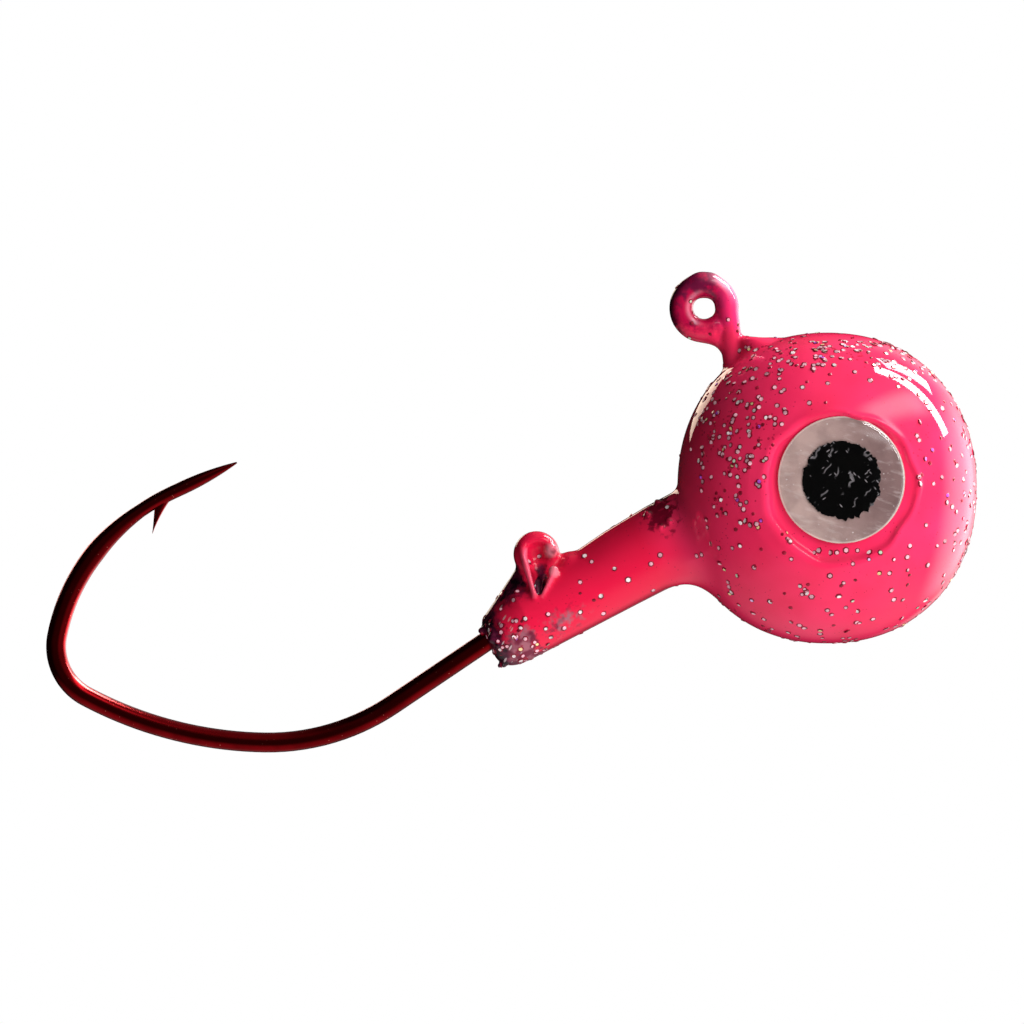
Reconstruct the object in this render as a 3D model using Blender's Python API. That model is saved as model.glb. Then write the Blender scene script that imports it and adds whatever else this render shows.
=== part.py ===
"""Ball jig head: a lead head cast round a bent hook, with a bait collar, a keeper, two coats and domed eyes.

The hook lies in the XZ plane. The origin is the centre of the line-tie ring, +Z is the pull of the line,
+X is the nose of the head and +Y is its left cheek. Sizes in this file are in millimetres and degrees;
every mesh is scaled to metres as it is made.
"""

import math

import bmesh
import bpy
from mathutils import Matrix, Vector

MM = 0.001

# The hook: one round wire. Each bend is (length of its centreline, turn to the right).
WIRE_RADIUS = 0.50
WIRE_SIDES = 10
RING_RADIUS = 1.14
RING_CUT_ANGLE = -63.0
NECK_ANGLE = 7.0
NECK_LENGTH = 7.12
NECK_BEND_RADIUS = 1.6
HOOK_ANGLE = 63.0
SHANK_LENGTH = 20.34
SPEAR_LENGTH = 3.6
GAPE_BENDS = ((6.8, 35.0), (9.3, 27.0), (3.6, 73.0), (5.9, 35.0), (3.6, 19.0))
DEGREES_PER_STEP = 12.0
SPEAR_STEPS = 6

# The point: the wire slims behind the barb, then tapers to a needle.
SLIM_FROM_TIP = (5.4, 8.4)
SLIM_RADIUS = 0.34
NEEDLE_LENGTH = 3.0
TIP_RADIUS = 0.04
BARB_OUTLINE = ((3.35, 0.12), (5.33, 1.43), (4.80, 0.12))
BARB_HALF_WIDTHS = (0.20, 0.05, 0.20)

# The lead ball: a superellipsoid, a little squarer than an ellipsoid, with a flat seat on each cheek.
BALL_CENTRE = Vector((6.15, 0.0, -9.0))
BALL_SEMI_AXES = (7.33, 6.20, 7.62)
BALL_POWER = 2.15
BALL_SEGMENTS = 32
BALL_RINGS = 14
SEAT_CENTRE = Vector((6.70, 0.0, -9.0))
SEAT_RADIUS = 3.80
SEAT_FLOOR = 5.20

# The collar: round sections along a line that rises towards the ball: (along, across, radius).
COLLAR_START = Vector((-4.20, 0.0, -12.75))
COLLAR_PITCH = 27.5
COLLAR_SECTIONS = (
    (-7.55, -0.80, 0.95),
    (-7.30, -0.66, 1.20),
    (-6.85, -0.63, 1.38),
    (-6.30, -0.53, 1.54),
    (-5.40, -0.33, 1.75),
    (-1.50, -0.33, 1.75),
    (0.00, -0.24, 1.84),
    (2.40, -0.17, 1.93),
    (6.00, -0.17, 1.97),
)
COLLAR_SIDES = 18

# The keeper: a dished lug at the end of a ramp that rises from the collar's tail.
LUG_PLACE = (-3.45, 2.33)
LUG_RADIUS = 1.00
LUG_HALF_WIDTH = 0.95
DISH_RADIUS = 0.62
DISH_FLOOR = 0.45
KEEPER_SIDES = 16
RAMP_CIRCLES = ((-3.45, 1.73, 0.95), (-7.00, 0.45, 0.28))
RAMP_HALF_WIDTH = 0.70

# The stub of the pouring gate, cut off just ahead of the line tie.
GATE_PLACE = (2.66, 0.0)
GATE_SEMI_AXES = (0.80, 0.95)
GATE_TOP = -1.62
GATE_FOOT = -3.60
GATE_SHOULDER = 0.25
GATE_SIDES = 14

# Layers, as distances from the bare lead or wire. FIT_GAP keeps touching pieces apart.
FIT_GAP = 0.02
BASE_COAT = 0.07
TOP_COAT = 0.15
NECK_STEP = 0.01

# The stick-on eyes: radius and thickness of each layer, from the seat outwards.
EYE_CENTRE = Vector((6.80, 0.0, -8.60))
EYE_RADIUS = 3.175
EYE_SIDES = 28
PAD_INSET = 0.10
PAD_THICKNESS = 0.10
FOIL_THICKNESS = 0.08
PUPIL_RADIUS = 1.95
PUPIL_THICKNESS = 0.04
LENS_HEIGHT = 1.30
LENS_EDGE = 0.15
LENS_RINGS = 5

FAR = 30.0


def clear_scene():
    for old in list(bpy.data.objects):
        bpy.data.objects.remove(old, do_unlink=True)


def make_material(name, colour, roughness, metallic, alpha=1.0):
    material = bpy.data.materials.new(name)
    material.use_nodes = True
    shader = material.node_tree.nodes["Principled BSDF"]
    shader.inputs["Base Color"].default_value = (*colour, 1.0)
    shader.inputs["Roughness"].default_value = roughness
    shader.inputs["Metallic"].default_value = metallic
    shader.inputs["Alpha"].default_value = alpha
    return material


def add_object(name, bm, material=None):
    """Turns a mesh in millimetres into an object in metres, smooth except at its sharp edges."""
    bmesh.ops.recalc_face_normals(bm, faces=bm.faces)
    bmesh.ops.scale(bm, vec=(MM, MM, MM), verts=bm.verts)
    mesh = bpy.data.meshes.new(name)
    bm.to_mesh(mesh)
    bm.free()
    mesh.shade_smooth()
    mesh.set_sharp_from_angle(angle=math.radians(35.0))
    if material is not None:
        mesh.materials.append(material)
    piece = bpy.data.objects.new(name, mesh)
    bpy.context.scene.collection.objects.link(piece)
    return piece


def hide_cutter(cutter):
    cutter.hide_render = True
    cutter.display_type = "WIRE"


def combine(target, other, operation):
    """Joins other to target, or cuts it out, and keeps other as a hidden guide."""
    change = target.modifiers.new(f"{operation.lower()}_{other.name}", "BOOLEAN")
    change.object = other
    change.operation = operation
    change.solver = "EXACT"
    hide_cutter(other)


def loft(loops):
    """A closed skin through loops of points with the same count, capped at both ends."""
    bm = bmesh.new()
    rings = [[bm.verts.new(point) for point in loop] for loop in loops]
    count = len(rings[0])
    for low, high in zip(rings, rings[1:]):
        for i in range(count):
            j = (i + 1) % count
            bm.faces.new((low[i], low[j], high[j], high[i]))
    bm.faces.new(rings[0])
    bm.faces.new(reversed(rings[-1]))
    return bm


def circle_points(centre, first, second, sides):
    """Points round centre, where first and second are the half-axes of the circle or ellipse."""
    turns = [2.0 * math.pi * i / sides for i in range(sides)]
    return [centre + first * math.cos(turn) + second * math.sin(turn) for turn in turns]


def cylinder_across(centre, radius, y_low, y_high, sides):
    """A round bar along Y."""
    loops = []
    for y in (y_low, y_high):
        middle = Vector((centre.x, y, centre.z))
        loops.append(circle_points(middle, Vector((radius, 0, 0)), Vector((0, 0, radius)), sides))
    return loft(loops)


# The hook's centreline.


def bend_programme():
    ring_turn = 360.0 + RING_CUT_ANGLE - NECK_ANGLE
    ring = (RING_RADIUS * math.radians(ring_turn), ring_turn)
    neck_bend = (NECK_BEND_RADIUS * math.radians(HOOK_ANGLE), HOOK_ANGLE)
    before = (ring, (NECK_LENGTH, 0.0), neck_bend, (SHANK_LENGTH, 0.0))
    return (*before, *GAPE_BENDS, (SPEAR_LENGTH, 0.0))


def hook_centreline():
    """Stations (point, heading, distance left to the tip) from the ring's cut end to the point."""
    programme = bend_programme()
    left = sum(length for length, _ in programme)
    cut = math.radians(RING_CUT_ANGLE)
    place = Vector((RING_RADIUS * math.cos(cut), 0.0, RING_RADIUS * math.sin(cut)))
    heading = cut - math.pi / 2.0
    stations = [(place.copy(), heading, left)]
    for number, (length, turn) in enumerate(programme):
        steps = max(1, math.ceil(turn / DEGREES_PER_STEP))
        if number == len(programme) - 1:
            steps = SPEAR_STEPS
        advance = length / steps
        half_turn = math.radians(turn) / steps / 2.0
        chord = advance if turn == 0.0 else advance * math.sin(half_turn) / half_turn
        for _ in range(steps):
            heading -= half_turn
            place = place + Vector((math.cos(heading), 0.0, math.sin(heading))) * chord
            heading -= half_turn
            left -= advance
            stations.append((place.copy(), heading, left))
    return stations


def wire_radius(left):
    """Radius of the wire at a distance from its tip."""
    near, far = SLIM_FROM_TIP
    if left >= far:
        return WIRE_RADIUS
    if left >= near:
        return SLIM_RADIUS + (WIRE_RADIUS - SLIM_RADIUS) * (left - near) / (far - near)
    if left >= NEEDLE_LENGTH:
        return SLIM_RADIUS
    short = 1.0 - max(left, 0.0) / NEEDLE_LENGTH
    return TIP_RADIUS + (SLIM_RADIUS - TIP_RADIUS) * (1.0 - short * short)


def swept_wire(stations, grow=0.0):
    across = Vector((0.0, 1.0, 0.0))
    loops = []
    for place, heading, left in stations:
        side = Vector((-math.sin(heading), 0.0, math.cos(heading)))
        radius = wire_radius(left) + grow
        loops.append(circle_points(place, side * radius, across * radius, WIRE_SIDES))
    return loft(loops)


def make_hook(material):
    stations = hook_centreline()
    hook = add_object("hook", swept_wire(stations), material)
    tip, heading, _ = stations[-1]
    back = Vector((-math.cos(heading), 0.0, -math.sin(heading)))
    inward = Vector((math.sin(heading), 0.0, -math.cos(heading)))
    across = Vector((0.0, 1.0, 0.0))
    loops = []
    for side in (-1.0, 1.0):
        corners = zip(BARB_OUTLINE, BARB_HALF_WIDTHS)
        loops.append([tip + back * u + inward * v + across * side * w for (u, v), w in corners])
    barb = add_object("barb_guide", loft(loops))
    combine(hook, barb, "UNION")
    return hook


def wire_cutter(name):
    """The hook's channel: the wire with its fitting gap, from the ring to clear of the collar's tail."""
    past_collar = SPEAR_LENGTH + sum(length for length, _ in GAPE_BENDS)
    stations = [station for station in hook_centreline() if station[2] > past_collar - 1.0]
    return add_object(name, swept_wire(stations, FIT_GAP))


# The lead casting's outer form, which each coat repeats a little larger.


def collar_frame():
    pitch = math.radians(COLLAR_PITCH)
    along = Vector((math.cos(pitch), 0.0, math.sin(pitch)))
    up = Vector((-math.sin(pitch), 0.0, math.cos(pitch)))
    return along, up


def collar_point(u, v):
    along, up = collar_frame()
    return COLLAR_START + along * u + up * v


def ball_mesh(grow):
    bm = bmesh.new()
    bmesh.ops.create_uvsphere(bm, u_segments=BALL_SEGMENTS, v_segments=BALL_RINGS, radius=1.0)
    bmesh.ops.rotate(bm, matrix=Matrix.Rotation(math.pi / 2.0, 3, "X"), verts=bm.verts)
    semi_axes = [length + grow for length in BALL_SEMI_AXES]
    for vert in bm.verts:
        total = sum(abs(part / length) ** BALL_POWER for part, length in zip(vert.co, semi_axes))
        vert.co = BALL_CENTRE + vert.co * total ** (-1.0 / BALL_POWER)
    return bm


def seat_mesh(grow, side):
    near, far = sorted((side * (SEAT_FLOOR + grow), side * FAR))
    return cylinder_across(SEAT_CENTRE, SEAT_RADIUS - grow, near, far, EYE_SIDES)


def collar_mesh(grow):
    along, up = collar_frame()
    across = Vector((0.0, 1.0, 0.0))
    loops = []
    for number, (u, v, radius) in enumerate(COLLAR_SECTIONS):
        place = collar_point(u - grow if number == 0 else u, v)
        size = radius + grow
        loops.append(circle_points(place, up * size, across * size, COLLAR_SIDES))
    return loft(loops)


def lug_mesh(grow):
    half = LUG_HALF_WIDTH + grow
    return cylinder_across(collar_point(*LUG_PLACE), LUG_RADIUS + grow, -half, half, KEEPER_SIDES)


def dish_mesh(grow, side):
    near, far = sorted((side * (DISH_FLOOR + grow), side * FAR))
    return cylinder_across(collar_point(*LUG_PLACE), DISH_RADIUS - grow, near, far, KEEPER_SIDES)


def ramp_mesh(grow):
    """The hull of two round bars, one under the lug and one at the collar's tail."""
    bm = bmesh.new()
    half = RAMP_HALF_WIDTH + grow
    for u, v, radius in RAMP_CIRCLES:
        centre = collar_point(u, v)
        size = radius + grow
        for y in (-half, half):
            middle = Vector((centre.x, y, centre.z))
            for point in circle_points(middle, Vector((size, 0, 0)), Vector((0, 0, size)), KEEPER_SIDES):
                bm.verts.new(point)
    hull = bmesh.ops.convex_hull(bm, input=bm.verts)
    inside = [item for item in hull["geom_interior"] if isinstance(item, bmesh.types.BMVert)]
    bmesh.ops.delete(bm, geom=inside, context="VERTS")
    return bm


def gate_mesh(grow):
    x, y = GATE_PLACE
    wide, deep = (length + grow for length in GATE_SEMI_AXES)
    sections = (
        (GATE_FOOT, 0.0),
        (GATE_TOP + grow - GATE_SHOULDER, 0.0),
        (GATE_TOP + grow, GATE_SHOULDER),
    )
    loops = []
    for z, inset in sections:
        first = Vector((wide - inset, 0.0, 0.0))
        second = Vector((0.0, deep - inset, 0.0))
        loops.append(circle_points(Vector((x, y, z)), first, second, GATE_SIDES))
    return loft(loops)


def casting_form(name, grow, material=None):
    """The ball with its eye seats, joined to the collar, the ramp, the dished lug and the gate stub."""
    form = add_object(name, ball_mesh(grow), material)
    for side, word in ((-1.0, "right"), (1.0, "left")):
        combine(form, add_object(f"{name}_{word}_seat", seat_mesh(grow, side)), "DIFFERENCE")
    for word, mesh in (("collar", collar_mesh), ("ramp", ramp_mesh), ("lug", lug_mesh), ("gate", gate_mesh)):
        combine(form, add_object(f"{name}_{word}", mesh(grow)), "UNION")
    for side, word in ((-1.0, "right"), (1.0, "left")):
        combine(form, add_object(f"{name}_{word}_dish", dish_mesh(grow, side)), "DIFFERENCE")
    return form


def ring_mesh(grow):
    """A whole ring: the coats bridge the slit at the wire's cut end."""
    bm = bmesh.new()
    radius = WIRE_RADIUS + grow
    steps = math.ceil(360.0 / DEGREES_PER_STEP)
    across = Vector((0.0, 1.0, 0.0))
    rings = []
    for step in range(steps):
        turn = 2.0 * math.pi * step / steps
        outward = Vector((math.cos(turn), 0.0, math.sin(turn)))
        points = circle_points(outward * RING_RADIUS, outward * radius, across * radius, WIRE_SIDES)
        rings.append([bm.verts.new(point) for point in points])
    for step in range(steps):
        here, there = rings[step], rings[(step + 1) % steps]
        for i in range(WIRE_SIDES):
            j = (i + 1) % WIRE_SIDES
            bm.faces.new((here[i], here[j], there[j], there[i]))
    return bm


def neck_mesh(grow):
    """The coated neck: a shade slimmer than the ring, from inside the ring into the ball."""
    turn = math.radians(NECK_ANGLE)
    outward = Vector((math.cos(turn), 0.0, math.sin(turn)))
    down = Vector((math.sin(turn), 0.0, -math.cos(turn)))
    across = Vector((0.0, 1.0, 0.0))
    radius = WIRE_RADIUS + grow - NECK_STEP
    top = outward * RING_RADIUS
    loops = []
    for place in (top, top + down * (NECK_LENGTH - NECK_BEND_RADIUS)):
        loops.append(circle_points(place, outward * radius, across * radius, WIRE_SIDES))
    return loft(loops)


def coated_form(name, grow, material=None):
    form = casting_form(name, grow, material)
    combine(form, add_object(f"{name}_ring", ring_mesh(grow)), "UNION")
    combine(form, add_object(f"{name}_neck", neck_mesh(grow)), "UNION")
    return form


def make_casting(material):
    casting = casting_form("lead_casting", 0.0, material)
    combine(casting, wire_cutter("lead_casting_channel"), "DIFFERENCE")
    return casting


def make_base_coat(material):
    coat = coated_form("pink_base_coat", BASE_COAT, material)
    combine(coat, casting_form("pink_base_coat_inside", FIT_GAP), "DIFFERENCE")
    combine(coat, wire_cutter("pink_base_coat_channel"), "DIFFERENCE")
    return coat


def make_top_coat(material):
    coat = coated_form("clear_top_coat", TOP_COAT, material)
    combine(coat, coated_form("clear_top_coat_inside", BASE_COAT + FIT_GAP), "DIFFERENCE")
    combine(coat, wire_cutter("clear_top_coat_channel"), "DIFFERENCE")
    return coat


# The eyes.


def eye_disc(name, material, radius, side, bottom, top):
    near, far = sorted((side * bottom, side * top))
    return add_object(name, cylinder_across(EYE_CENTRE, radius, near, far, EYE_SIDES), material)


def eye_lens(name, material, side, bottom):
    """A flat-backed dome: a short straight edge, then a round cap."""
    loops = []
    rise = LENS_HEIGHT - LENS_EDGE
    cap_radius = (EYE_RADIUS**2 + rise**2) / (2.0 * rise)
    half_angle = math.asin(EYE_RADIUS / cap_radius)
    levels = [(bottom, EYE_RADIUS)]
    for step in range(LENS_RINGS):
        angle = half_angle * (1.0 - step / LENS_RINGS)
        height = cap_radius * (math.cos(angle) - math.cos(half_angle))
        levels.append((bottom + LENS_EDGE + height, cap_radius * math.sin(angle)))
    for height, radius in levels:
        middle = EYE_CENTRE + Vector((0.0, side * height, 0.0))
        loops.append(circle_points(middle, Vector((radius, 0, 0)), Vector((0, 0, radius)), EYE_SIDES))
    return add_object(name, loft(loops), material)


def make_eye(word, side, materials):
    bottom = SEAT_FLOOR + TOP_COAT + FIT_GAP
    layers = (
        ("adhesive_pad", EYE_RADIUS - PAD_INSET, PAD_THICKNESS),
        ("foil", EYE_RADIUS, FOIL_THICKNESS),
        ("pupil", PUPIL_RADIUS, PUPIL_THICKNESS),
    )
    for layer, radius, thickness in layers:
        eye_disc(f"{word}_eye_{layer}", materials[layer], radius, side, bottom, bottom + thickness)
        bottom += thickness + FIT_GAP
    eye_lens(f"{word}_eye_lens", materials["lens"], side, bottom)


def main():
    clear_scene()
    make_hook(make_material("red_plated_steel", (0.30, 0.004, 0.012), 0.18, 1.0))
    make_casting(make_material("bare_lead", (0.33, 0.34, 0.36), 0.45, 1.0))
    make_base_coat(make_material("pink_paint", (0.90, 0.03, 0.13), 0.30, 0.0))
    make_top_coat(make_material("glitter_clear_coat", (0.95, 0.10, 0.25), 0.06, 0.0, 0.35))
    eye_materials = {
        "adhesive_pad": make_material("foam_adhesive", (0.85, 0.84, 0.80), 0.80, 0.0),
        "foil": make_material("pearl_foil", (0.62, 0.56, 0.56), 0.25, 0.8),
        "pupil": make_material("black_ink", (0.01, 0.01, 0.01), 0.40, 0.0),
        "lens": make_material("clear_resin", (1.0, 1.0, 1.0), 0.03, 0.0, 0.25),
    }
    for word, side in (("right", -1.0), ("left", 1.0)):
        make_eye(word, side, eye_materials)


main()
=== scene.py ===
"""Looks of a pink glitter ball jig head: one fine coat surface, a plated hook, glitter and domed eyes.

Shapes are worked out in millimetres in the frame of the CAD model, whose origin is the centre of the
line-tie ring, and are scaled to metres as each mesh is made.
"""

import math
import random

import bpy
import numpy as np
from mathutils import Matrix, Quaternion, Vector, noise


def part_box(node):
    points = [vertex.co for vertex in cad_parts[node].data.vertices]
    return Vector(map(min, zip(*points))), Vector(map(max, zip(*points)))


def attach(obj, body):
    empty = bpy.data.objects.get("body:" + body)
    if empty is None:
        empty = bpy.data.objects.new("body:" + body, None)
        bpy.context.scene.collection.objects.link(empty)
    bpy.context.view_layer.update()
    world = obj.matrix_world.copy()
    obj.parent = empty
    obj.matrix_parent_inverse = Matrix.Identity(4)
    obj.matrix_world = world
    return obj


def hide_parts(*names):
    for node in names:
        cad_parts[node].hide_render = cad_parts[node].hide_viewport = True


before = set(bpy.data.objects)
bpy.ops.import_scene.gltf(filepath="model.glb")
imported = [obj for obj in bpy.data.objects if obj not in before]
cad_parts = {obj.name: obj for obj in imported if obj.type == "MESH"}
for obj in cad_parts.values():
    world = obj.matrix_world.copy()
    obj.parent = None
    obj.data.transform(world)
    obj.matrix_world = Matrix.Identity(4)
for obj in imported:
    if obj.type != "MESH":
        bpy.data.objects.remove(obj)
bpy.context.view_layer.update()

MM = 0.001


def box_mm(node):
    low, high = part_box(node)
    return np.array(low) / MM, np.array(high) / MM


def rows_of(items, what):
    """The positions or the normals of a mesh's vertices or faces, as rows of x, y, z."""
    values = np.empty(len(items) * 3)
    items.foreach_get(what, values)
    return values.reshape(-1, 3)


def store(mesh, marks):
    """Keeps named numbers, one for each vertex, for a material to read."""
    for name, values in marks.items():
        layer = mesh.attributes.new(name, "FLOAT", "POINT")
        layer.data.foreach_set("value", values.astype(np.float32))


def ramp(value, start, width, top=1.0):
    """Rises from 0 at the start; a negative width makes it rise downwards."""
    return np.clip((value - start) / width, 0.0, top)


def bump(offset, width):
    """A smooth hump: 1 in the middle, and 0.37 at the width on either side."""
    return np.exp(-(offset / width) ** 2)


# Driving sizes, in millimetres and degrees. The wire's bends are the CAD model's own.
WIRE_RADIUS = 0.50
RING_RADIUS = 1.14
RING_CUT_ANGLE = -63.0
NECK_ANGLE = 7.0
NECK_LENGTH = 7.12
NECK_BEND = (1.6 * math.radians(63.0), 63.0)
SHANK_LENGTH = 20.34
SPEAR_LENGTH = 3.6
GAPE_BENDS = ((6.8, 35.0), (9.3, 27.0), (3.6, 73.0), (5.9, 35.0), (3.6, 19.0))
SLIM_FROM_TIP = (5.4, 8.4)
SLIM_RADIUS = 0.34
NEEDLE_LENGTH = 3.0
TIP_RADIUS = 0.04
WIRE_SIDES = 28
BARB_STEPS, BARB_SIDES = 8, 12
# Where the painted highlight inside the hook's tight bend lies.
BEND_HIGHLIGHT_PLACE = np.array((-30.6, 0.0, -18.9))
COATED_RING_RADIUS = 0.585

COAT_LOW, COAT_HIGH = box_mm("clear_top_coat")
COAT_THICKNESS = 0.15
CORE_TOP = -1.6
EYE_LOW, EYE_HIGH = box_mm("left_eye_lens")
EYE_CENTRE = np.array(((EYE_LOW[0] + EYE_HIGH[0]) / 2.0, 0.0, (EYE_LOW[2] + EYE_HIGH[2]) / 2.0))
EYE_RADIUS = (EYE_HIGH[0] - EYE_LOW[0]) / 2.0
BALL_CENTRE = EYE_CENTRE + np.array((-0.65, 0.0, -0.40))
BALL_AXES = np.array((COAT_HIGH[0] - BALL_CENTRE[0], 6.35, 7.77))
BALL_POWER = 2.15
SEAT_CENTRE = BALL_CENTRE + np.array((0.55, 0.0, 0.0))
SEAT_RADIUS = 3.50
SEAT_FLOOR = box_mm("left_eye_adhesive_pad")[0][1] - 0.01

EYE_SIDES = 216
PUPIL_RADIUS = 1.95
LENS_EDGE = 0.10
LENS_SHOULDER = 0.72
LENS_STEPS = 22

COLLAR_START = np.array((-4.20, 0.0, -12.75))
COLLAR_PITCH = math.radians(27.5)
ALONG = np.array((math.cos(COLLAR_PITCH), 0.0, math.sin(COLLAR_PITCH)))
UPWARD = np.array((-math.sin(COLLAR_PITCH), 0.0, math.cos(COLLAR_PITCH)))
COLLAR_SECTIONS = np.array((
    (-7.70, -0.80, 1.08),
    (-7.30, -0.66, 1.35),
    (-6.85, -0.63, 1.53),
    (-6.30, -0.53, 1.69),
    (-5.40, -0.33, 1.90),
    (-1.50, -0.33, 1.90),
    (0.00, -0.24, 1.99),
    (2.40, -0.17, 2.08),
    (6.00, -0.17, 2.12),
))
COLLAR_END = 9.0
# The keeper's features on one side, in the collar's own frame. Rods are given by their ends and end radii.
FLANGE_TOP = ((-3.95, 0.90, 2.85), (-4.22, 1.20, 2.05), 0.17, 0.19)
FLANGE_LOW = ((-4.22, 1.20, 2.05), (-4.55, 1.82, 0.50), 0.19, 0.10)
DISH = ((-3.40, 1.20, 2.30), (-3.02, 1.35, 1.85), 0.66, 0.44)
DISH_FLOOR = (*DISH[:2], 0.56, 0.40)
NOTCH = ((-4.22, 1.64, 0.62), (-3.62, 1.27, 1.80), 0.17, 0.50)
RIDGE = ((-4.25, 1.80, 0.30), (-3.30, 1.66, 1.02), 0.06, 0.13)
KEEPER_BEADS = (((-3.14, 1.56, 1.17), 0.26), ((-2.78, 0.78, 2.16), 0.33))
# Where the small dark dot sits inside the beads' painted highlight.
DARK_DOT_PLACE = np.array((-2.66, 1.10, 2.02))

GATE_X = 2.70
GATE_RADIUS = 1.0
GATE_FOOT = -6.0

# The size of the grid cells that the coat and the lead are meshed with.
COAT_CELL = 0.114
CORE_CELL = 0.30


# Distance functions. Each takes points as rows of x, y, z in millimetres and is negative inside.


def blend_min(a, b, reach):
    """The union of two shapes, rounded where they meet over about the given reach."""
    overlap = np.maximum(reach - np.abs(a - b), 0.0) / reach
    return np.minimum(a, b) - overlap * overlap * reach / 4.0


def blend_max(a, b, reach):
    """The overlap of two shapes, rounded where they meet; with -b, what b leaves of a."""
    return -blend_min(-a, -b, reach)


def rod(p, start, end, start_radius, end_radius):
    """A round-ended rod that tapers between two points."""
    start, end = np.array(start), np.array(end)
    span = end - start
    share = np.clip((p - start) @ span / (span @ span), 0.0, 1.0)
    offset = p - start - share[:, None] * span
    return np.linalg.norm(offset, axis=1) - (start_radius + (end_radius - start_radius) * share)


def ball(p):
    """The egg-shaped head, with a wavy seat for each eye and a bead of thick coat round the seat."""
    q = p - BALL_CENTRE
    size = np.sum(np.abs(q / BALL_AXES) ** BALL_POWER, axis=1) ** (1.0 / BALL_POWER)
    shape = np.linalg.norm(q, axis=1) * (1.0 - 1.0 / np.maximum(size, 1e-6))
    from_x, from_z = p[:, 0] - SEAT_CENTRE[0], p[:, 2] - SEAT_CENTRE[2]
    from_axis = np.hypot(from_x, from_z)
    turn = np.arctan2(from_z, from_x)
    wave = 0.05 * np.sin(3.0 * turn + 0.6) + 0.035 * np.sin(7.0 * turn + 2.0) + 0.02 * np.sin(13.0 * turn)
    outward = np.abs(p[:, 1])
    seat = blend_max(from_axis - SEAT_RADIUS - wave, SEAT_FLOOR - outward, 0.25)
    shape = blend_max(shape, -seat, 0.60)
    cheek = np.clip((outward - 3.0) / 1.0, 0.0, 1.0)
    upper_right = 0.5 + 0.5 * np.cos(turn - math.radians(35.0))
    lower_left = 1.0 - upper_right
    bead = 0.085 * upper_right * bump(from_axis - SEAT_RADIUS - 0.36 - 2.0 * wave, 0.15)
    ripple = 0.016 * lower_left * bump(from_axis - 4.65 - wave, 0.28)
    return shape - cheek * (bead + ripple)


def collar(c):
    """c holds points in the collar's own frame: along, across, up."""
    middle = np.interp(c[:, 0], COLLAR_SECTIONS[:, 0], COLLAR_SECTIONS[:, 1])
    radius = np.interp(c[:, 0], COLLAR_SECTIONS[:, 0], COLLAR_SECTIONS[:, 2])
    side = np.hypot(c[:, 2] - middle, c[:, 1]) - radius
    tail = COLLAR_SECTIONS[0, 0] - c[:, 0]
    return np.maximum(blend_max(side, tail, 0.7), c[:, 0] - COLLAR_END)


def mirror(p):
    """Folds the points onto the left side, so that one feature serves for both."""
    return np.column_stack((p[:, 0], np.abs(p[:, 1]), p[:, 2]))


def keeper(c, solid):
    """The ear on the collar's top: a ramp, a lug dished on both sides and a flange that narrows to a V."""
    mirrored = mirror(c)
    back = rod(c * (1.0, 1.2, 1.0), (-3.70, 0.0, 1.62), (-7.05, 0.0, 0.30), 1.02, 0.42)
    solid = blend_min(solid, back, 0.35)
    from_axis = np.hypot(mirrored[:, 0] + 3.50, mirrored[:, 2] - 2.32)
    lug = blend_max(from_axis - 1.15, mirrored[:, 1] - 0.98, 0.70)
    solid = blend_min(solid, lug, 0.22)
    solid = blend_min(solid, rod(mirrored, (-2.25, 0.0, 1.22), (-2.25, 0.75, 1.10), 0.50, 0.40), 0.30)
    solid = blend_min(solid, np.minimum(rod(mirrored, *FLANGE_TOP), rod(mirrored, *FLANGE_LOW)), 0.28)
    solid = blend_max(solid, -rod(mirrored, *DISH), 0.16)
    solid = blend_max(solid, -rod(mirrored, *NOTCH), 0.12)
    solid = blend_min(solid, rod(mirrored, *RIDGE), 0.18)
    for bead, size in KEEPER_BEADS:
        solid = blend_min(solid, rod(mirrored, bead, np.array(bead) + 0.01, size, size), 0.14)
    return solid


def gate_stub(p):
    """What is left of the pouring gate, just ahead of the ring's neck."""
    side = np.hypot(p[:, 0] - GATE_X, p[:, 1] / 1.1) - GATE_RADIUS
    top = p[:, 2] - (-1.38 - 0.10 * (p[:, 0] - 1.9))
    return np.maximum(blend_max(side, top, 0.5), GATE_FOOT - p[:, 2])


def ring_and_neck(p):
    """The ring is an open loop whose cut end butts against the neck, so a crease runs down between them."""
    turn = math.radians(NECK_ANGLE)
    cut = math.radians(RING_CUT_ANGLE)
    around = np.arctan2(p[:, 2], p[:, 0])
    nearer_end = np.where(around < (cut + turn) / 2.0, cut, turn)
    nearest = np.where((around > cut) & (around < turn), nearer_end, around)
    gap_x, gap_z = p[:, 0] - RING_RADIUS * np.cos(nearest), p[:, 2] - RING_RADIUS * np.sin(nearest)
    ring = np.sqrt(gap_x ** 2 + p[:, 1] ** 2 + gap_z ** 2) - COATED_RING_RADIUS
    ring = blend_min(ring, rod(p, (-0.12, 0.0, 1.17), (0.22, 0.0, 1.16), 0.61, 0.60), 0.25)
    from_axis = np.hypot(p[:, 0], p[:, 2])
    closing = np.hypot(from_axis - RING_RADIUS, 1.7 * p[:, 1]) - 0.58
    ring = blend_min(ring, closing, 0.06)
    top = (RING_RADIUS * math.cos(turn), 0.0, RING_RADIUS * math.sin(turn))
    foot = (top[0] + math.sin(turn) * 5.0, 0.0, top[2] - math.cos(turn) * 5.0)
    both = blend_min(ring, rod(p, top, foot, 0.55, 0.52), 0.09)
    pooled = rod(p, (0.30, 0.0, -1.36), (0.92, 0.0, -1.90), 0.36, 0.22)
    both = blend_min(both, pooled, 0.30)
    slit = rod(mirror(p), (0.64, 0.58, -0.66), (0.64, 0.56, -1.50), 0.08, 0.10)
    return blend_max(both, -slit, 0.10)


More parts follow.
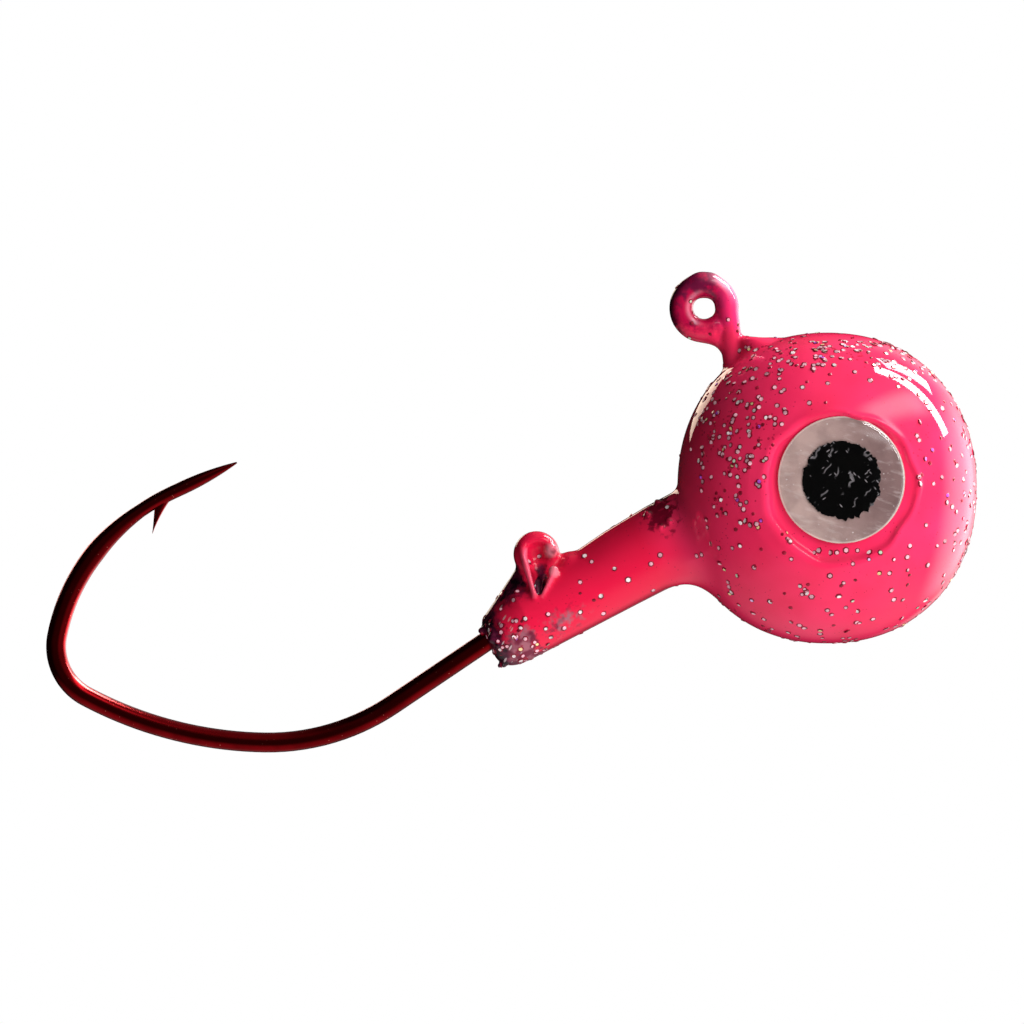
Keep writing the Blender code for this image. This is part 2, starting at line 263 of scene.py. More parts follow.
def lumps():
    """Small beads of thick coat: at the collar's tail, at its junction with the ball and on the ball's top."""
    draw = random.Random(11)
    made = []
    for _ in range(16):
        turn = draw.uniform(0.0, 2.0 * math.pi)
        along = draw.uniform(-7.75, -7.0)
        out = np.interp(along, COLLAR_SECTIONS[:, 0], COLLAR_SECTIONS[:, 2]) - 0.06
        mid = np.interp(along, COLLAR_SECTIONS[:, 0], COLLAR_SECTIONS[:, 1])
        place = COLLAR_START + ALONG * along + UPWARD * (mid + out * math.sin(turn))
        place[1] = out * math.cos(turn)
        made.append((place, draw.uniform(0.10, 0.20)))
    for _ in range(9):
        turn = draw.uniform(math.radians(20.0), math.radians(160.0))
        along = draw.uniform(2.2, 3.3)
        place = COLLAR_START + ALONG * along + UPWARD * (-0.17 + 2.12 * math.sin(turn))
        place[1] = 2.12 * math.cos(turn)
        made.append((place, draw.uniform(0.12, 0.22)))
    return made


LUMPS = lumps()


def coat_distance(p):
    offset = p - COLLAR_START
    c = np.column_stack((offset @ ALONG, p[:, 1], offset @ UPWARD))
    stem = keeper(c, collar(c))
    fillet = np.interp(c[:, 2], (-1.5, 1.5), (1.9, 0.35))
    solid = blend_min(ball(p), stem, fillet)
    solid = blend_min(solid, gate_stub(p), 0.5)
    solid = blend_min(solid, ring_and_neck(p), 0.28)
    for place, size in LUMPS:
        near = np.linalg.norm(p - place, axis=1) - size
        solid = blend_min(solid, near, 0.18)
    return solid


def core_distance(p):
    """The lead under the coat. It stops at the top of the gate stub."""
    return np.maximum(coat_distance(p) + COAT_THICKNESS, p[:, 2] - CORE_TOP)


# Turning a distance function into a mesh.


def inside_grid(distance, axes, block=8):
    """Marks the grid points inside the shape. Only blocks near the surface are worked out point by point."""
    shape = tuple(len(axis) for axis in axes)
    inside = np.zeros(shape, bool)
    step = axes[0][1] - axes[0][0]
    reach = math.sqrt(3.0) * step * block / 2.0 * 1.3 + 0.5
    starts = [np.arange(0, size, block) for size in shape]
    corners = np.stack(np.meshgrid(*starts, indexing="ij"), axis=-1).reshape(-1, 3)
    low = np.array([axis[0] for axis in axes])
    middles = distance(low + (corners + (block - 1) / 2.0) * step)
    near = np.abs(middles) < reach
    for corner, value in zip(corners[~near], middles[~near]):
        i, j, k = corner
        inside[i:i + block, j:j + block, k:k + block] = value < 0.0
    local = np.stack(np.meshgrid(*[np.arange(block)] * 3, indexing="ij"), axis=-1).reshape(-1, 3)
    for batch in np.array_split(corners[near], max(1, int(near.sum()) // 200)):
        at = (batch[:, None, :] + local[None, :, :]).reshape(-1, 3)
        at = at[np.all(at < np.array(shape), axis=1)]
        inside[tuple(at.T)] = distance(low + at * step) < 0.0
    return inside


def settle(distance, points, rounds):
    """Moves points along the function's slope until they lie on the surface."""
    step = 1e-3
    for _ in range(rounds):
        value = distance(points)
        slope = np.empty_like(points)
        for axis in range(3):
            shift = np.zeros(3)
            shift[axis] = step
            slope[:, axis] = (distance(points + shift) - distance(points - shift)) / (2.0 * step)
        steep = np.maximum(np.sum(slope * slope, axis=1), 0.05)
        points = points - slope * (value / steep)[:, None]
    return points


def net(distance, low, high, cell):
    """A closed quad mesh of the surface: one point in each grid cell that it passes through."""
    axes = [np.arange(a, b + cell, cell) for a, b in zip(low, high)]
    inside = inside_grid(distance, axes)
    shape = [len(axis) - 1 for axis in axes]
    count = np.zeros(shape, np.int8)
    for dx in (0, 1):
        for dy in (0, 1):
            for dz in (0, 1):
                count += inside[dx:dx + shape[0], dy:dy + shape[1], dz:dz + shape[2]]
    cells = np.argwhere((count > 0) & (count < 8))
    number = np.full(shape, -1, np.int64)
    number[tuple(cells.T)] = np.arange(len(cells))
    points = np.column_stack([axes[i][cells[:, i]] + cell / 2.0 for i in range(3)])
    quads = []
    for axis in range(3):
        first, second = (axis + 1) % 3, (axis + 2) % 3
        near = [slice(None)] * 3
        far = [slice(None)] * 3
        near[axis], far[axis] = slice(None, -1), slice(1, None)
        here, there = inside[tuple(near)], inside[tuple(far)]
        for flip, crossing in ((False, here & ~there), (True, there & ~here)):
            at = np.argwhere(crossing)
            corners = []
            for back_first, back_second in ((0, 0), (1, 0), (1, 1), (0, 1)):
                place = at.copy()
                place[:, first] -= back_first
                place[:, second] -= back_second
                corners.append(number[tuple(place.T)])
            face = np.column_stack(corners)
            quads.append(face[:, ::-1] if flip else face)
    return points, np.vstack(quads)


def relax(distance, points, quads, rounds=3):
    """Evens out the net: each point moves towards its neighbours, then back onto the surface."""
    edges = np.vstack([quads[:, [i, (i + 1) % 4]] for i in range(4)])
    share = np.bincount(edges[:, 0], minlength=len(points)) + np.bincount(edges[:, 1], minlength=len(points))
    for _ in range(rounds):
        total = np.zeros_like(points)
        for axis in range(3):
            total[:, axis] += np.bincount(edges[:, 0], points[edges[:, 1], axis], len(points))
            total[:, axis] += np.bincount(edges[:, 1], points[edges[:, 0], axis], len(points))
        points = 0.5 * points + 0.5 * total / share[:, None]
        points = settle(distance, points, 2)
    return points


# Objects.


def mesh_object(name, points, faces, smooth=True, sharp_angle=None):
    """Makes an object from points in millimetres."""
    mesh = bpy.data.meshes.new(name)
    mesh.from_pydata((np.asarray(points) * MM).tolist(), [], [list(map(int, face)) for face in faces])
    if smooth:
        mesh.shade_smooth()
    if sharp_angle is not None:
        mesh.set_sharp_from_angle(angle=math.radians(sharp_angle))
    mesh.update()
    piece = bpy.data.objects.new(name, mesh)
    bpy.context.scene.collection.objects.link(piece)
    return piece


def place_piece(piece, slot, *nodes):
    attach(piece, "root")
    if nodes:
        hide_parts(*nodes)


def loft(loops):
    """Points and faces of a closed skin through loops with the same count."""
    count = len(loops[0])
    points = [point for loop in loops for point in loop]
    faces = []
    for row in range(len(loops) - 1):
        for i in range(count):
            j = (i + 1) % count
            a, b = row * count, (row + 1) * count
            faces.append((a + i, a + j, b + j, b + i))
    faces.append(tuple(reversed(range(count))))
    faces.append(tuple(range((len(loops) - 1) * count, len(loops) * count)))
    return points, faces


# The hook.


def hook_stations(degrees_per_step=2.5, longest_step=0.5):
    """Steps along the wire from the ring's cut end to the point: x, z, heading and the length still left."""
    ring_turn = 360.0 + RING_CUT_ANGLE - NECK_ANGLE
    ring = (RING_RADIUS * math.radians(ring_turn), ring_turn)
    programme = [ring, (NECK_LENGTH, 0.0), NECK_BEND, (SHANK_LENGTH, 0.0), *GAPE_BENDS, (SPEAR_LENGTH, 0.0)]
    left = sum(length for length, _ in programme)
    cut = math.radians(RING_CUT_ANGLE)
    x, z = RING_RADIUS * math.cos(cut), RING_RADIUS * math.sin(cut)
    heading = cut - math.pi / 2.0
    stations = [(x, z, heading, left)]
    for number, (length, turn) in enumerate(programme):
        steps = max(1, math.ceil(turn / degrees_per_step), math.ceil(length / longest_step))
        if number == len(programme) - 1:
            steps *= 4
        advance = length / steps
        half_turn = math.radians(turn) / steps / 2.0
        chord = advance if turn == 0.0 else advance * math.sin(half_turn) / half_turn
        for _ in range(steps):
            heading -= half_turn
            x += math.cos(heading) * chord
            z += math.sin(heading) * chord
            heading -= half_turn
            left -= advance
            stations.append((x, z, heading, left))
    return stations


def wire_radius(left):
    """The wire slims down before the point, and the point itself is a needle."""
    near, far = SLIM_FROM_TIP
    if left >= far:
        return WIRE_RADIUS
    if left >= near:
        share = (left - near) / (far - near)
        return SLIM_RADIUS + (WIRE_RADIUS - SLIM_RADIUS) * share
    if left >= NEEDLE_LENGTH:
        return SLIM_RADIUS
    short = 1.0 - max(left, 0.0) / NEEDLE_LENGTH
    return TIP_RADIUS + (SLIM_RADIUS - TIP_RADIUS) * (1.0 - short * short)


def ring_points(place, first, second, sides):
    turns = [2.0 * math.pi * i / sides for i in range(sides)]
    return [place + first * math.cos(turn) + second * math.sin(turn) for turn in turns]


def make_hook():
    across = np.array((0.0, 1.0, 0.0))
    stations = hook_stations()
    loops = []
    for x, z, heading, left in stations:
        side = np.array((-math.sin(heading), 0.0, math.cos(heading)))
        radius = wire_radius(left)
        loops.append(ring_points(np.array((x, 0.0, z)), side * radius, across * radius, WIRE_SIDES))
    hook = mesh_object("plated_hook", *loft(loops), sharp_angle=40.0)
    barb = make_barb(stations)
    union = hook.modifiers.new("barb", "BOOLEAN")
    union.object = barb
    union.operation = "UNION"
    union.solver = "EXACT"
    mesh = bpy.data.meshes.new_from_object(hook.evaluated_get(bpy.context.evaluated_depsgraph_get()))
    hook.modifiers.clear()
    hook.data = mesh
    mesh.shade_smooth()
    mesh.set_sharp_from_angle(angle=math.radians(40.0))
    bpy.data.objects.remove(barb)
    return hook


def make_barb(stations):
    """A curved sliver raised from the wire's inner side, pointing back down the bend."""
    x, z, heading, _ = stations[-1]
    tip = np.array((x, 0.0, z))
    back = np.array((-math.cos(heading), 0.0, -math.sin(heading)))
    inward = np.array((math.sin(heading), 0.0, -math.cos(heading)))
    across = np.array((0.0, 1.0, 0.0))
    loops = []
    for i in range(BARB_STEPS + 1):
        t = i / BARB_STEPS
        middle = tip + back * (3.95 + 1.38 * t) + inward * (0.10 + 1.33 * t ** 1.25)
        thick = 0.56 * (1.0 - t) ** 1.25 + 0.012
        wide = 0.22 * (1.0 - t) ** 0.6 + 0.02
        loops.append(ring_points(middle, back * thick, across * wide, BARB_SIDES))
    return mesh_object("barb", *loft(loops))


# The eyes. Each layer is a round stack across the cheek, at +y on the left side and at -y on the right.


def layer_point(radius, turn, outward, side):
    return EYE_CENTRE + np.array((radius * math.cos(turn), side * outward, radius * math.sin(turn)))


def make_layer(name, outlines, side):
    """A closed round layer from a list of (outline, outward): an outline gives the radius at each turn."""
    turns = [2.0 * math.pi * i / EYE_SIDES for i in range(EYE_SIDES)]
    loops = [[layer_point(outline(turn), turn, outward, side) for turn in turns] for outline, outward in outlines]
    points, faces = loft(loops)
    if side > 0:
        faces = [tuple(reversed(face)) for face in faces]
    return mesh_object(name, points, faces, sharp_angle=35.0)


def even(radius):
    return lambda turn: radius


def ragged(side):
    """The ink's torn edge: small flats all round, a few spikes low on one side and a nick."""
    shift = 0.0 if side < 0 else 2.4
    spikes = ((-84.0, 5.0, 0.20), (-74.0, 4.0, 0.12), (-65.0, 4.0, 0.17), (-50.0, 4.5, 0.16), (-38.0, 4.0, 0.10),
              (-20.0, 6.0, 0.09), (12.0, 4.0, 0.08), (28.0, 7.0, 0.08))
    nicks = ((157.0, 8.0, 0.17), (-100.0, 6.0, 0.10), (75.0, 7.0, 0.06), (-6.0, 5.0, 0.08), (-57.0, 3.5, 0.08))

    def outline(turn):
        broad = noise.noise(Vector((4.0 * math.cos(turn), 4.0 * math.sin(turn), 3.0 + shift)))
        fine = noise.noise(Vector((34.0 * math.cos(turn), 34.0 * math.sin(turn), 8.0 + shift)))
        radius = PUPIL_RADIUS + 0.06 * broad + 0.10 * fine
        for sign, marks in ((1.0, spikes), (-1.0, nicks)):
            for middle, width, height in marks:
                off = (math.degrees(turn + shift) - middle + 180.0) % 360.0 - 180.0
                radius += sign * height * max(0.0, 1.0 - abs(off) / width)
        return radius

    return outline


def make_eye(prefix, side):
    """The foil, the printed pupil and the lens, each as thick as its own solid in the CAD model."""

    def faces_of(layer):
        low, high = box_mm(prefix + layer)
        return sorted((abs(low[1]), abs(high[1])))

    near, far = faces_of("foil")
    rim = EYE_RADIUS - 0.01
    outlines = [(even(rim - 0.02), near), (even(rim), near + 0.02), (even(rim), far - 0.01),
                (even(rim - 0.03), far), (even(rim - 0.10), far)]
    foil = make_layer(prefix + "pearl", outlines, side)
    place_piece(foil, "foil", prefix + "foil")
    near, far = faces_of("pupil")
    edge = ragged(side)
    pupil = make_layer(prefix + "ink", [(edge, near), (edge, far)], side)
    place_piece(pupil, "ink", prefix + "pupil")
    near, far = faces_of("lens")
    outlines = [(even(EYE_RADIUS - 0.04), near), (even(EYE_RADIUS), near + 0.04),
                (even(EYE_RADIUS), near + LENS_EDGE)]
    for i in range(1, LENS_STEPS):
        lift = math.pi / 2.0 * i / LENS_STEPS
        flat, rise = math.cos(lift) ** LENS_SHOULDER, math.sin(lift) ** LENS_SHOULDER
        outlines.append((even(EYE_RADIUS * flat), near + LENS_EDGE + (far - near - LENS_EDGE) * rise))
    lens = make_layer(prefix + "dome", outlines, side)
    place_piece(lens, "lens", prefix + "lens")
    return foil, pupil, lens


# Glitter.


def flake_crowding(p):
    """How many flakes settle at a place, from 0 to 1."""
    q = (p - BALL_CENTRE) / BALL_AXES
    from_eye = math.hypot(p[0] - EYE_CENTRE[0], p[2] - EYE_CENTRE[2])
    if from_eye < CLEAR_OF_EYE and abs(p[1]) > 4.0:
        return 0.0
    offset = p - COLLAR_START
    along, up = offset @ ALONG, offset @ UPWARD
    if along < 3.6 and p[2] < -4.0 and p[0] < 0.5:  # the collar and its keeper
        if -5.2 < along < -2.0 and up > 0.1:
            return 0.015
        tail = 0.50 * math.exp(-((along + 6.4) / 1.3) ** 2) * (1.0 if up < 0.0 else 0.35)
        return 0.06 + tail + 0.08 * math.exp(-((up + 0.9) / 0.6) ** 2)
    if p[2] > -1.7:  # the ring
        return 0.12
    if p[2] > -3.2 and p[0] < 2.0:  # the neck's foot
        return 0.10
    upper_left = math.exp(-((q[0] + 0.60) / 0.28) ** 2 - ((q[2] - 0.28) / 0.38) ** 2)
    upper_left += 0.35 * math.exp(-((q[0] - 0.60) / 0.15) ** 2 - ((q[2] - 0.21) / 0.16) ** 2)
    if q[0] < -0.86:
        return 0.04
    top = math.exp(-((q[2] - 0.93) / 0.16) ** 2)
    front = math.exp(-((q[0] - 0.93) / 0.12) ** 2) * 0.28
    low = 0.07 if q[2] < -0.2 else 0.0
    return min(1.0, 0.07 + 0.95 * upper_left + 0.80 * top + front + low)


CLEAR_OF_EYE = 3.75
ROW_OUTWARD = 5.6
ROW_BELOW_EYE = ((-1.15, -3.55), (-0.60, -3.65), (-0.20, -3.65), (0.25, -3.52), (0.80, -3.50))
# Each tint's share of the flakes, its colour and its size.
FLAKE_TINTS = (
    (0.54, (0.98, 0.50, 0.60), 1.15),
    (0.14, (1.0, 0.84, 0.86), 1.25),
    (0.20, (0.36, 0.004, 0.030), 0.75),
    (0.03, (0.55, 0.10, 0.75), 1.0),
    (0.03, (0.65, 0.80, 0.60), 1.0),
    (0.02, (0.80, 0.50, 0.85), 1.0),
    (0.04, (0.95, 0.72, 0.35), 1.1),
)
# The colour of each flake's bevelled rim: a painted shadow round the flake.
FLAKE_PAINTED_SHADOW = (0.26, 0.002, 0.022)
# The flake's three hexagons, by size and height: the rim's foot, the rim and the face. The rim carries a painted
# shadow.
FLAKE_LOOPS = ((1.65, -0.05), (1.65, 0.002), (1.0, 0.026))
FLAKE_RADII = (0.070, 0.100)
FLAKE_TILT = 0.16
FLAKE_COUNT = 1300


def make_flakes(shell, wanted):
    """Hexagonal flakes with bevelled edges, lying just proud of the coat and tipped a little at random."""
    draw = random.Random(5)
    mesh = shell.data
    count = len(mesh.polygons)
    areas = np.empty(count)
    mesh.polygons.foreach_get("area", areas)
    centres = rows_of(mesh.polygons, "center") / MM
    normals = rows_of(mesh.polygons, "normal")
    totals = np.cumsum(areas)
    points, faces, tints = [], [], []
    chosen = []
    for side in (-1.0, 1.0):
        for x, z in ROW_BELOW_EYE:
            off = centres - EYE_CENTRE - np.array((x, side * ROW_OUTWARD, z))
            chosen.append(int(np.argmin(np.sum(off * off, axis=1))))
    placed = 0
    while placed < wanted:
        if placed < len(chosen):
            face = chosen[placed]
        else:
            face = min(int(np.searchsorted(totals, draw.random() * totals[-1])), count - 1)
        place = centres[face]
        if placed >= len(chosen) and draw.random() > flake_crowding(place):
            continue
        placed += 1
        tilt = Vector([draw.gauss(0.0, FLAKE_TILT) for _ in range(3)])
        normal = (Vector(normals[face]) + tilt).normalized()
        first = normal.orthogonal().normalized()
        first.rotate(Quaternion(normal, draw.uniform(0.0, math.pi)))
        second = normal.cross(first)
        tint, share = FLAKE_TINTS[0][1:] if placed <= len(chosen) else pick_tint(draw)
        radius = draw.uniform(*FLAKE_RADII) * share
        start = len(points)
        for size, height in FLAKE_LOOPS:
            for i in range(6):
                turn = math.pi * i / 3.0
                across = first * math.cos(turn) + second * math.sin(turn)
                points.append(Vector(place) + across * (radius * size) + normal * height)
        faces.append([start + i for i in reversed(range(6))])
        tints.append(FLAKE_PAINTED_SHADOW)
        for row in (0, 6):
            for i in range(6):
                j = (i + 1) % 6
                faces.append([start + row + i, start + row + j, start + row + 6 + j, start + row + 6 + i])
                tints.append(FLAKE_PAINTED_SHADOW)
        faces.append([start + 12 + i for i in range(6)])
        tints.append(tint)
    flakes = mesh_object("glitter_flakes", np.array(points), faces, smooth=False)
    colour = flakes.data.attributes.new("tint", "FLOAT_COLOR", "FACE")
    flat = np.ones((len(faces), 4))
    flat[:, :3] = tints
    colour.data.foreach_set("color", flat.ravel())
    return flakes


def pick_tint(draw):
    """A flake's colour and size, drawn by the tints' shares."""
    share = draw.random()
    for part, tint, size in FLAKE_TINTS:
        if share < part:
            return tint, size
        share -= part
    return FLAKE_TINTS[0][1:]


# Materials.


class Material:
    """A node material with short ways to add and join nodes."""

    def __init__(self, name):
        self.data = bpy.data.materials.new(name)
        self.data.use_nodes = True
        self.tree = self.data.node_tree
        self.shader = self.tree.nodes["Principled BSDF"]
        self.place = self.add("ShaderNodeTexCoord").outputs["Object"]

    def add(self, kind, inputs=(), **settings):
        made = self.tree.nodes.new(kind)
        for key, value in settings.items():
            setattr(made, key, value)
        for key, value in dict(inputs).items():
            self.put(made.inputs[key], value)
        return made

    def put(self, socket, value):
        if isinstance(value, bpy.types.NodeSocket):
            self.tree.links.new(value, socket)
        elif socket.type == "RGBA" and len(value) == 3:
            socket.default_value = (*value, 1.0)
        else:
            socket.default_value = value

    def set(self, **inputs):
        for key, value in inputs.items():
            self.put(self.shader.inputs[key.replace("_", " ")], value)

    def attribute(self, name, output="Fac"):
        return self.add("ShaderNodeAttribute", attribute_name=name).outputs[output]

    def stretched(self, scale, lean):
        """Coordinates turned about the cheek's axis by some degrees, then scaled along their own axes."""
        turned = (0.0, math.radians(lean), 0.0)
        inputs = {"Vector": self.place, "Scale": [1.0 / s for s in scale], "Rotation": turned}
        return self.add("ShaderNodeMapping", inputs, vector_type="TEXTURE").outputs["Vector"]

    def noise(self, size, detail=3.0, roughness=0.55, place=None):
        """Noise whose features are about the given size in millimetres."""
        inputs = {"Vector": place or self.place, "Scale": 1.0 / (size * MM)}
        inputs.update({"Detail": detail, "Roughness": roughness})
        return self.add("ShaderNodeTexNoise", inputs).outputs["Fac"]

    def cells(self, size, place=None):
        """How far each point lies from the nearest of many scattered ones, about the given size apart."""
        inputs = {"Vector": place or self.place, "Scale": 1.0 / (size * MM)}
        return self.add("ShaderNodeTexVoronoi", inputs).outputs["Distance"]

    def math(self, operation, a, b):
        return self.add("ShaderNodeMath", {0: a, 1: b}, operation=operation).outputs[0]

    def grey(self, value):
        return self.add("ShaderNodeCombineColor", {0: value, 1: value, 2: value}).outputs[0]

    def span(self, value, low, high, to_low=0.0, to_high=1.0):
        """Carries a value smoothly from one range to another, and holds it at both ends."""
        inputs = {"Value": value, "From Min": low, "From Max": high, "To Min": to_low, "To Max": to_high}
        return self.add("ShaderNodeMapRange", inputs, interpolation_type="SMOOTHSTEP").outputs["Result"]

    def blend(self, factor, a, b, mode="MIX"):
        """Mixes two colours. The mix node has a set of sockets for each kind of data; these are the colours."""
        made = self.add("ShaderNodeMix", data_type="RGBA", blend_type=mode)
        self.put(made.inputs["Factor"], factor)
        self.put(made.inputs[6], a)
        self.put(made.inputs[7], b)
        return made.outputs[2]

    def bump(self, height, strength, distance):
        inputs = {"Height": height, "Strength": strength, "Distance": distance * MM}
        return self.add("ShaderNodeBump", inputs).outputs["Normal"]

    def dress(self, *pieces):
        for piece in pieces:
            piece.data.materials.clear()
            piece.data.materials.append(self.data)


def mark_coat(shell):
    """Stores where the coat is dark at the tail, ashen, wine red or crowded with flakes, and where shade and
    highlights are painted on the keeper, the ring and the collar's underside.
    """
    p = rows_of(shell.data.vertices, "co") / MM
    offset = p - COLLAR_START
    along, up = offset @ ALONG, offset @ UPWARD
    c = mirror(np.column_stack((along, p[:, 1], up)))
    on_stem = (along < 4.5) & (p[:, 2] < -4.0)
    tail = ramp(0.15 * up - along, 6.2, 1.1)
    behind = ramp(along, -4.50, -0.25) * ramp(up, 0.3, 1.1)
    # Painted shade in the keeper's notch.
    notch = ramp(rod(c, *NOTCH), 0.11, -0.09) * ramp(up, 2.1, -0.9)
    flange = np.minimum(rod(c, *FLANGE_TOP), rod(c, *FLANGE_LOW))
    # Painted highlights along the keeper's flange and its ridge.
    painted_keeper_highlight = np.maximum(ramp(flange, 0.05, -0.09), ramp(rod(c, *RIDGE), 0.05, -0.08, 0.6))
    spots = [np.linalg.norm(c - np.array(bead), axis=1) for bead, _ in KEEPER_BEADS]
    # A painted highlight on the keeper's beads, with a small dark dot inside it.
    painted_bead_highlight = ramp(np.minimum(spots[0] + 0.06, spots[1]), 0.42, -0.16) * (c[:, 1] > 0.6)
    dots = ramp(np.linalg.norm(c - DARK_DOT_PLACE, axis=1), 0.20, -0.12, 0.7)
    tail_ash = ramp(along, -5.0, -0.9) * ramp(up, -0.2, -0.9)
    middle_ash = 0.72 * bump(along + 3.9, 1.1) * bump(up + 1.25, 0.6)
    downward = -(rows_of(shell.data.vertices, "normal") @ UPWARD)
    on_ring = p[:, 2] > -2.0
    ring_out = np.hypot(p[:, 0], p[:, 2])
    ring_turn = np.degrees(np.arctan2(p[:, 2], p[:, 0]))
    # Painted highlights on the ring's right shoulder and on the inner left of its hole.
    shoulder_highlight = 0.75 * bump(ring_turn - 48.0, 26.0) * ramp(ring_out, 1.25, 0.3)
    inner_highlight = 0.45 * bump(ring_out - 0.80, 0.10) * ramp(p[:, 0], 0.0, -0.4)
    store(shell.data, {
        # The tail's dark paint, darker on the collar's top behind the keeper, and painted shade in the keeper's
        # notch.
        "dark_tail_and_keeper_shade": np.maximum.reduce([tail, 0.85 * behind, notch]) * on_stem,
        "ash": np.maximum(tail_ash, middle_ash) * on_stem,
        # Painted shade in the keeper's hollows.
        "painted_dish_shade": ramp(rod(c, *DISH_FLOOR), 0.16, -0.20) * on_stem,
        # Painted highlights on the keeper's flange, ridge and beads, and the small dark dot inside one.
        "painted_keeper_highlight": painted_keeper_highlight * on_stem * (1.0 - dots),
        "painted_bead_highlight": painted_bead_highlight * on_stem,
        "dots": dots * on_stem,
        # Painted shade along the collar's underside, where the surface faces down.
        "under": ramp(downward, 0.86, 0.12) * on_stem * ramp(along, 2.4, -1.0),
        # The ring's right side and neck painted lighter, as if lit from the right, painted highlights on the ring
        # and painted shade on its outer left rim.
        "leg": ramp(p[:, 0], 0.50, 0.8) * on_ring,
        "painted_ring_highlight": np.maximum(shoulder_highlight, inner_highlight) * on_ring,
        "painted_rim_shade": ramp(ring_out, 1.38, 0.25) * ramp(p[:, 0], -0.6, -0.5) * on_ring,
        # Where whitish streaks are painted on the tail as reflections.
        "tail": ramp(along, -5.9, -0.8, 0.8) * on_stem,
        "junction": bump(along - 2.9, 0.9) * ramp(up, -0.4, 1.5),
        "wine": ramp(p[:, 2], -1.7, 1.2),
        "top": ramp(p[:, 2], 0.1, 1.0),
        "stem": ramp(along, 3.4, -2.0) * (p[:, 2] < -4.0),
        "crowd": np.array([flake_crowding(point) for point in p]),
    })


def coat_material():
    m = Material("glitter_coat")
    broad = m.noise(4.0, 2.0)
    fine = m.noise(0.35, 3.0)
    pink = m.blend(m.span(broad, 0.35, 0.65), (0.93, 0.030, 0.120), (0.84, 0.022, 0.092))
    pink = m.blend(m.attribute("stem"), pink, (0.74, 0.009, 0.052))
    rough_edge = m.math("ADD", m.attribute("junction"), m.span(fine, 0.3, 0.7, -0.45, 0.25))
    pink = m.blend(m.span(rough_edge, 0.25, 0.75), pink, (0.20, 0.003, 0.020))
    wine_edge = m.math("ADD", m.attribute("wine"), m.span(fine, 0.3, 0.7, -0.2, 0.2))
    patches = m.math("ADD", m.noise(0.6), m.span(m.attribute("top"), 0.0, 1.0, -0.05, 0.10))
    wine = m.blend(m.span(patches, 0.40, 0.62), (0.46, 0.003, 0.050), (0.15, 0.005, 0.038))
    # Painted light on the ring: its right side and neck lighter, as if lit from the right, painted shade on its
    # outer left rim and painted highlights.
    wine = m.blend(m.attribute("leg"), wine, (0.90, 0.025, 0.150))
    wine = m.blend(m.attribute("painted_rim_shade"), wine, (0.045, 0.001, 0.012))
    wine = m.blend(m.attribute("painted_ring_highlight"), wine, (0.97, 0.30, 0.43))
    pink = m.blend(m.span(wine_edge, 0.2, 0.9), pink, wine)
    # Painted shade along the collar's underside.
    pink = m.blend(m.math("MULTIPLY", m.attribute("under"), 0.75), pink, (0.20, 0.002, 0.018))
    ash_edge = m.math("ADD", m.attribute("ash"), m.span(fine, 0.3, 0.7, -0.35, 0.25))
    ash = m.blend(m.span(m.noise(0.8, 2.0), 0.40, 0.62), (0.17, 0.010, 0.036), (0.36, 0.11, 0.15))
    pink = m.blend(m.span(ash_edge, 0.2, 0.8), pink, ash)
    # The tail's dark paint, darker on the collar's top behind the keeper, and painted shade in the keeper's
    # notch.
    dark_tail_and_keeper_shade_edge = m.math("ADD", m.attribute("dark_tail_and_keeper_shade"), m.span(fine, 0.3, 0.7, -0.15, 0.15))
    # Painted shade in the keeper's hollows: a deeper red.
    pink = m.blend(m.attribute("painted_dish_shade"), pink, (0.42, 0.003, 0.026))
    dark_tail_and_keeper_shade = m.blend(m.span(m.noise(0.5), 0.35, 0.65), (0.008, 0.001, 0.005), (0.10, 0.006, 0.030))
    pink = m.blend(m.span(dark_tail_and_keeper_shade_edge, 0.15, 0.75), pink, dark_tail_and_keeper_shade)
    # Painted highlights on the keeper's flange, ridge and beads, and the small dark dot inside one.
    pink = m.blend(m.math("MULTIPLY", m.attribute("painted_keeper_highlight"), 0.70), pink, (0.96, 0.17, 0.28))
    pink = m.blend(m.math("MULTIPLY", m.attribute("painted_bead_highlight"), 0.60), pink, (0.98, 0.50, 0.60))
    pink = m.blend(m.attribute("dots"), pink, (0.10, 0.002, 0.014))
    # Whitish streaks on the tail: painted reflections.
    slim = m.stretched((1.0, 1.0, 3.4), -60.0)
    streaks = m.span(m.cells(0.80, slim), 0.24, 0.15)
    streaks = m.math("MULTIPLY", streaks, m.span(m.noise(0.8, 1.0), 0.38, 0.48))
    pink = m.blend(m.math("MULTIPLY", streaks, m.attribute("tail")), pink, (0.58, 0.44, 0.45))
    size = m.span(m.attribute("crowd"), 0.1, 0.9, 0.14, 0.34)
    sunk = m.math("LESS_THAN", m.cells(0.24), m.math("MULTIPLY", size, m.span(m.noise(0.9, 1.0), 0.45, 0.60)))
    pink = m.blend(m.math("MULTIPLY", sunk, 0.60), pink, (0.30, 0.003, 0.022))
    waves = m.bump(m.noise(1.6, 1.0), 0.10, 0.05)
    m.set(Base_Color=pink, Coat_Weight=1.0, Coat_Roughness=0.03, Coat_IOR=1.5, Specular_IOR_Level=0.0)
    m.set(Roughness=m.span(fine, 0.3, 0.7, 0.38, 0.55), Normal=waves, Coat_Normal=waves)
    return m


